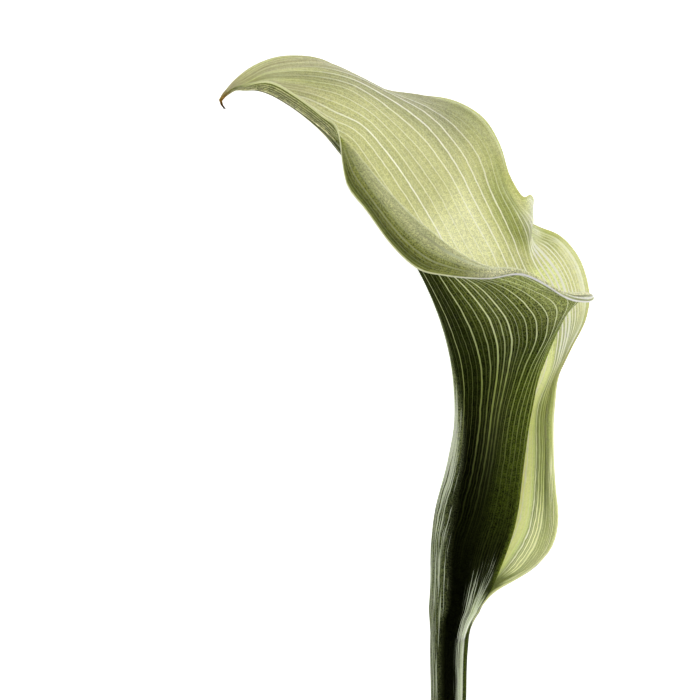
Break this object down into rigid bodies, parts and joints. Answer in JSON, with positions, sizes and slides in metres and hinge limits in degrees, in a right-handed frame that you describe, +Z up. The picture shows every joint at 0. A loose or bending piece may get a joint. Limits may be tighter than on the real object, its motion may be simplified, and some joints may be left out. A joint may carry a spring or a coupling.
{
  "type": "calla lily flower",
  "caption": "Cut calla lily flower lying on its side: a funnel-shaped spathe with a rolled rim, an overlapping flap and a drawn-out tip, round a spadix, on its stem.",
  "frame": {"origin": "middle of the footprint of the lying flower, on the surface it rests on", "axes": "+Y from the stem's cut end toward the spathe's tip, +Z up from the surface, so the rolled rim faces up and the tip curls to -X"},
  "size_m": [0.0938, 0.3126, 0.0506],
  "materials": {
    "spathe": "pale yellow-green, cream-veined, soft satin sheen; dark green outside",
    "spadix": "matt golden yellow, powdery florets",
    "stem": "deep green, finely ribbed, soft satin sheen"
  },
  "bodies": {
    "root": {"spathe": "spathe", "spadix": "spadix", "stem": "stem"}
  },
  "joints": []
}
